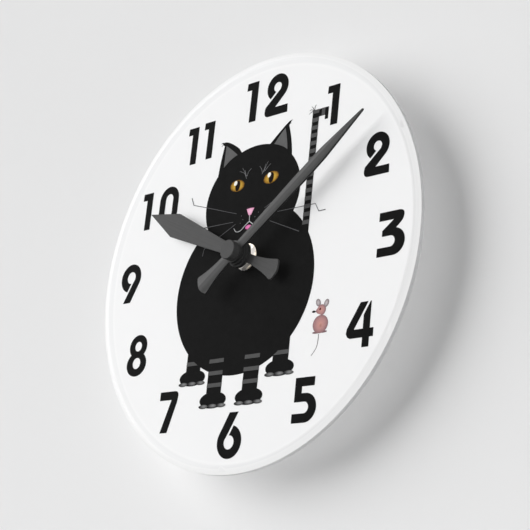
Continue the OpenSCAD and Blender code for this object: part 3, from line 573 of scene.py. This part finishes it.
def prism(bm, outline, back, thick):
    """A closed flat film from an outline in mm, its back at the depth back (a y in metres)."""
    front = back - thick
    lower = [bm.verts.new((x * MM, back, z * MM)) for x, z in outline]
    upper = [bm.verts.new((x * MM, front, z * MM)) for x, z in outline]
    bm.faces.new(lower)
    bm.faces.new(upper[::-1])
    for i in range(len(outline)):
        j = (i + 1) % len(outline)
        bm.faces.new((lower[j], lower[i], upper[i], upper[j]))


def smooth_path(points, steps=8):
    """A smooth curve through points (Catmull-Rom)."""
    padded = [points[0], *points, points[-1]]
    path = []
    for a, b, c, d in zip(padded, padded[1:], padded[2:], padded[3:]):
        for i in range(steps):
            t = i / steps
            path.append(tuple(
                0.5 * (2 * q + (r - p) * t + (2 * p - 5 * q + 4 * r - s) * t * t
                       + (3 * q - p - 3 * r + s) * t ** 3)
                for p, q, r, s in zip(a, b, c, d)))
    return [*path, points[-1]]


def line_outline(points, width, start=1.0, end=0.35, curved=True):
    """Outline of a drawn line whose width runs from start*width to end*width."""
    path = smooth_path(points) if curved and len(points) > 2 else points
    left = []
    right = []
    for i, (x, z) in enumerate(path):
        before = path[max(i - 1, 0)]
        after = path[min(i + 1, len(path) - 1)]
        dx, dz = after[0] - before[0], after[1] - before[1]
        size = math.hypot(dx, dz)
        half = width / 2 * (start + (end - start) * i / (len(path) - 1))
        left.append((x - dz / size * half, z + dx / size * half))
        right.append((x + dz / size * half, z - dx / size * half))
    return left + right[::-1]


def spot_outline(x, z, half_x, half_z, turn=0.0, points=28):
    c, s = math.cos(math.radians(turn)), math.sin(math.radians(turn))
    ring = []
    for i in range(points):
        angle = 2 * math.pi * i / points
        u, v = half_x * math.cos(angle), half_z * math.sin(angle)
        ring.append((x + u * c - v * s, z + u * s + v * c))
    return ring


def films(name, outlines, material, back=INK_FRONT, thick=FILM):
    """One piece that holds several flat films, each with its back at the depth back."""
    bm = bmesh.new()
    for outline in outlines:
        prism(bm, outline, back, thick)
    bmesh.ops.recalc_face_normals(bm, faces=bm.faces)
    mesh = bpy.data.meshes.new(name)
    bm.to_mesh(mesh)
    bm.free()
    return new_piece(name, mesh, material)


LINE = 0.42       # width of a whisker in mm
HAIR = 0.24       # width of the finest hairs
ink_line = ink_material("whisker_grey", screen(88, 88, 90))
ink_pale = ink_material("pale_grey", screen(196, 198, 200))
ink_hair = ink_material("hair_grey", screen(128, 128, 130))
ink_dark = ink_material("hair_black", screen_grey(34))
ink_white = ink_material("highlight_white", screen(248, 246, 236))
ink_pupil = ink_material("pupil_brown", screen(26, 18, 16))

WHISKERS = [
    [(-9.6, 22.9), (-31.9, 30), (-40.9, 32.8), (-42.9, 36.8)],
    [(-11.4, 19), (-31.9, 19.4)],
    [(-9.6, 17.6), (-20.9, 12.5), (-29.6, 8.3), (-30.3, 4.8)],
    [(8.8, 22.7), (15.1, 25.5), (24, 29)],
    [(17.6, 19.3), (41.1, 19), (43.6, 15), (47.6, 15)],
    [(13.1, 15.6), (32.6, 7.2)],
]
films("whiskers", [line_outline(p, LINE, 0.6, 1.0, curved=False) for p in WHISKERS],
      ink_line)

BROWS = [
    [(-5.4, 40), (-7.2, 43), (-10.5, 44.6)],
    [(-5.6, 41.4), (-7.4, 44), (-8.9, 46)],
    [(-5.7, 40.6), (-6.6, 43.6), (-7, 44.6)],
    [(-5.2, 41.2), (-4.4, 43.4), (-2.6, 44.8)],
    [(5, 40.2), (4.4, 42.6), (2.8, 44.6)],
    [(5.2, 40.8), (6.2, 43), (6.6, 45)],
    [(5.8, 41.2), (6.9, 43.8), (8.2, 46.2)],
    [(6.6, 41.6), (8.2, 43.2), (10.1, 44.6)],
]
films("brow_hairs", [line_outline(p, HAIR, 1.0, 0.5) for p in BROWS], ink_hair)

MOUTH = [
    [(-0.6, 20.5), (-0.4, 17.5)],
    [(-0.4, 17.6), (-3, 15.9), (-5.6, 13.9), (-7.8, 13.5), (-9.2, 14.1), (-10.4, 15.6)],
    [(-0.4, 17.6), (3.1, 15.2), (6, 13.4), (8.6, 13.6), (10.2, 15.5)],
]
films("mouth_lines", [line_outline(p, 0.4, 1.0, 0.6) for p in MOUTH], ink_pale)
DOTS = [(-6.4, 17.6), (-6.1, 21.2), (-4.9, 19.2), (5.1, 21.2), (3, 19.3), (5.6, 18)]
DOT_RADIUS = 0.26
films("cheek_dots", [spot_outline(x, z, DOT_RADIUS, DOT_RADIUS, points=12) for x, z in DOTS],
      ink_line)

PUPILS = [spot_outline(x, 37.3, 1.55, 2.65, -6) for x in (-10.9, 11.3)]
films("pupils", PUPILS, ink_pupil, TOP_INK_FRONT)
SHINES = [spot_outline(x, 38.8, 1.05, 1.25, -20) for x in (-12.4, 9.9)]
films("eye_shines", SHINES, ink_white, TOP_INK_FRONT - FILM, FILM / 2)

EAR_HAIRS = [
    [(-23.6, 62), (-25, 62.4), (-26, 62.1)],
    [(-23.6, 61.2), (-24.8, 61.2), (-25.6, 60.6)],
    [(18.8, 63.3), (20, 64.1), (21.5, 64.3)],
    [(19.4, 62.4), (20.1, 62.8), (20.9, 62.8)],
]
TUFT = [
    [(34.4, 65.5), (33, 65.3), (31.8, 64.5)],
    [(34.6, 65.8), (33.2, 66.6), (32, 66.2)],
    [(34.8, 65.8), (34, 67.4), (33, 68.2)],
    [(35.2, 65.8), (35.2, 67.4), (35.8, 68.6)],
]
films("stray_hairs", [line_outline(p, 0.36, 1.0, 0.4) for p in EAR_HAIRS + TUFT],
      ink_dark, DIAL_FRONT)


def toe_material():
    """Grey toe, dark at its left end and lit a little right of its middle."""
    s = Shader("toe_grey")
    lit = s.node("Attribute")
    lit.attribute_name = "lit"
    s.set(Base_Color=s.ramp(lit.outputs["Fac"], (0.0, screen_grey(40)), (1.0, screen_grey(134))),
          Roughness=0.5, Specular_IOR_Level=0.02, Normal=s.print_grain())
    return s.material


def toes():
    """Three small toes under each paw."""
    bm = bmesh.new()
    lit = bm.verts.layers.float.new("lit")
    half_x, half_z = TOE_HALF
    rings, around = 4, 28
    for x, centre_z in PAWS:
        for k in (-1, 0, 1):
            centre_x = x + TOE_SPACING * k
            layers = []
            for y in (DIAL_FRONT, INK_FRONT - FILM):
                middle = bm.verts.new((centre_x * MM, y, centre_z * MM))
                middle[lit] = 0.8
                circles = []
                for ring in range(1, rings + 1):
                    share = ring / rings
                    circle = []
                    for u, v in spot_outline(0, 0, share * half_x, share * half_z, points=around):
                        vert = bm.verts.new(((centre_x + u) * MM, y, (centre_z + v) * MM))
                        away = math.hypot((u / half_x) - 0.25, (v / half_z) * 0.8 - 0.1)
                        vert[lit] = max(0.0, 1 - away)
                        circle.append(vert)
                    circles.append(circle)
                for i in range(around):
                    j = (i + 1) % around
                    bm.faces.new((middle, circles[0][i], circles[0][j]))
                    for inner, outer in zip(circles, circles[1:]):
                        bm.faces.new((inner[i], outer[i], outer[j], inner[j]))
                layers.append(circles[-1])
            for i in range(around):
                j = (i + 1) % around
                bm.faces.new((layers[0][i], layers[0][j], layers[1][j], layers[1][i]))
    bmesh.ops.recalc_face_normals(bm, faces=bm.faces)
    mesh = bpy.data.meshes.new("toes")
    bm.to_mesh(mesh)
    bm.free()
    new_piece("toes", mesh, toe_material())


toes()

MOUSE_TAIL = [(50.1, -42.6), (50.1, -45.2), (49.4, -48.8), (46.8, -52)]
films("mouse_lines", [line_outline(MOUSE_TAIL, 0.34, 1.0, 0.7)],
      ink_material("mouse_tail_grey", screen(132, 126, 128)), DIAL_FRONT)
films("mouse_nose", [spot_outline(46.2, -32.15, 1.0, 0.5)], ink_dark, DIAL_FRONT, 2 * FILM)
films("mouse_eye", [spot_outline(49.9, -31.4, 0.4, 0.6, -12)],
      ink_material("mouse_eye_red", screen(84, 22, 30)))


# ---------- stage ----------

def wall_material():
    """Pale matt wall, seen only from the front, so that the clock's back can be looked at."""
    s = Shader("wall_paint")
    s.set(Base_Color=s.ramp(s.noise(3, 2), (0.3, (0.785, 0.785, 0.785)), (0.7, (0.795, 0.795, 0.795))),
          Roughness=0.95, Specular_IOR_Level=0.0, Normal=s.bump(s.noise(900, 3), 4e-6))
    clear = s.node("BsdfTransparent")
    path = s.node("LightPath")
    back = s.node("NewGeometry").outputs["Backfacing"]
    hide = s.math("MAXIMUM", back, path.outputs["Is Shadow Ray"])
    blend = s.node("MixShader")
    s.put(blend.inputs[0], hide)
    s.put(blend.inputs[1], s.surface.outputs[0])
    s.put(blend.inputs[2], clear.outputs[0])
    s.tree.links.new(blend.outputs[0], s.output.inputs[0])
    return s.material


def wall(size=3.0, hole=0.05, points=64, gap=0.4 * MM):
    """A wall at the clock's back, with a hole that the clock hides, so that light reaches its back."""
    bm = bmesh.new()
    corners = [(-size, -size), (size, -size), (size, size), (-size, size)]
    outer = [bm.verts.new((x, gap, z)) for x, z in corners]
    turns = [2 * math.pi * i / points for i in range(points)]
    inner = [bm.verts.new((hole * math.cos(turn), gap, hole * math.sin(turn))) for turn in turns]
    edges = [bm.edges.new((outer[i], outer[(i + 1) % 4])) for i in range(4)]
    edges += [bm.edges.new((inner[i], inner[(i + 1) % points])) for i in range(points)]
    bmesh.ops.triangle_fill(bm, use_beauty=True, edges=edges, normal=(0, -1, 0))
    for face in bm.faces:
        if face.normal.y > 0:
            face.normal_flip()
    mesh = bpy.data.meshes.new("wall")
    bm.to_mesh(mesh)
    bm.free()
    mesh.materials.append(wall_material())
    made = bpy.data.objects.new("wall", mesh)
    bpy.context.scene.collection.objects.link(made)


def floor(size=1.3, height=-0.9):
    """A pale grey floor in front of the wall, below the clock."""
    corners = [(-size, -2 * size), (size, -2 * size), (size, 0), (-size, 0)]
    mesh = bpy.data.meshes.new("floor")
    mesh.from_pydata([(x, y, height) for x, y in corners], [], [(0, 1, 2, 3)])
    mesh.materials.append(solid_material("floor_paint", (0.5, 0.5, 0.5), 0.8, specular=0.1, blotch=0.01,
                                         blotch_scale=4, edge_light=1.0))
    made = bpy.data.objects.new("floor", mesh)
    bpy.context.scene.collection.objects.link(made)


def add_light(name, kind, strength, place, toward):
    """A light at a place in metres, looking toward another place."""
    light = bpy.data.lights.new(name, kind)
    light.energy = strength
    made = bpy.data.objects.new(name, light)
    made.location = place
    made.rotation_euler = (Vector(toward) - Vector(place)).to_track_quat("-Z", "Y").to_euler()
    bpy.context.scene.collection.objects.link(made)
    return made


def soft_sun(name, direction, angle, strength):
    """A very large soft light, far away, like a tall window."""
    made = add_light(name, "SUN", strength, direction, (0, 0, 0))
    made.data.angle = math.radians(angle)
    return made


def panel(name, place, size, watts):
    """A square soft light that looks at the clock."""
    made = add_light(name, "AREA", watts, place, (0, 0, 0))
    made.data.size = size
    return made


def only_shadows_of(light, kept):
    """Only the kept objects throw a shadow in this light."""
    blockers = bpy.data.collections.new(light.name + "_blockers")
    for made in kept:
        blockers.objects.link(made)
    light.light_linking.blocker_collection = blockers


def lights_only(light, lit):
    """Only the lit objects receive this light."""
    receivers = bpy.data.collections.new(light.name + "_receivers")
    for made in lit:
        receivers.objects.link(made)
    light.light_linking.receiver_collection = receivers


def world(strength):
    made = bpy.data.worlds.new("studio")
    made.use_nodes = True
    background = made.node_tree.nodes["Background"]
    background.inputs[0].default_value = (0.97, 0.98, 1.0, 1)
    background.inputs[1].default_value = strength
    bpy.context.scene.world = made


def camera():
    """Camera at the right of the clock and below it, looking up at the dial, with a slight roll."""
    distance = 0.6542
    azimuth = math.radians(46.53)
    elevation = math.radians(-17.5)
    roll = math.radians(5.88)
    centre = Vector((0, DIAL_FRONT, 0))
    back = Vector((math.sin(azimuth) * math.cos(elevation), -math.cos(azimuth) * math.cos(elevation),
                   math.sin(elevation)))
    data = bpy.data.cameras.new("camera")
    data.lens = 95.77
    data.sensor_width = 36
    made = bpy.data.objects.new("camera", data)
    made.location = centre + back * distance
    aim = Vector((12.9 * MM, DIAL_FRONT, -5.85 * MM)) - made.location
    made.rotation_mode = "QUATERNION"
    made.rotation_quaternion = aim.to_track_quat("-Z", "Y") @ Quaternion((0, 0, 1), roll)
    bpy.context.scene.collection.objects.link(made)
    bpy.context.scene.camera = made


HANDS = ("hour_hand", "minute_hand", "hand_cap")
WINDOW = (-1.18, -1, 0.46)      # from the clock towards the main light
WINDOW_ANGLE = 58               # its apparent size in degrees
wall()
floor()
world(0.1)
# The light is split, because the hands' shadows are much fainter than the clock's: the first part throws
# all shadows, the second all but the hands', and the third only that of a gasket hidden behind the dial.
hidden = frame["nodes"]["rubber_gasket"]
soft_sun("key", WINDOW, WINDOW_ANGLE, 1.88)
only_shadows_of(soft_sun("key_over_hands", WINDOW, WINDOW_ANGLE, 1.3),
                [node for name, node in frame["nodes"].items() if name not in HANDS])
only_shadows_of(soft_sun("fill", WINDOW, WINDOW_ANGLE, 1.0), [hidden])
glint = panel("glint", (0.5, -0.25, 0.35), 0.3, 8)
only_shadows_of(glint, [hidden])
lights_only(glint, [frame["nodes"]["hex_nut"], frame["nodes"]["brass_washer"]])
side_fill = panel("side_fill", (0.6, -0.2, 0.1), 0.3, 2.2)
only_shadows_of(side_fill, [hidden])
lights_only(side_fill, [frame["nodes"][name] for name in HANDS])
panel("rear_left", (-1.2, 1.3, 0.9), 0.8, 6)
panel("rear_right", (1.3, 1.2, 0.5), 0.8, 5)
camera()
bpy.context.scene.view_settings.view_transform = "Standard"
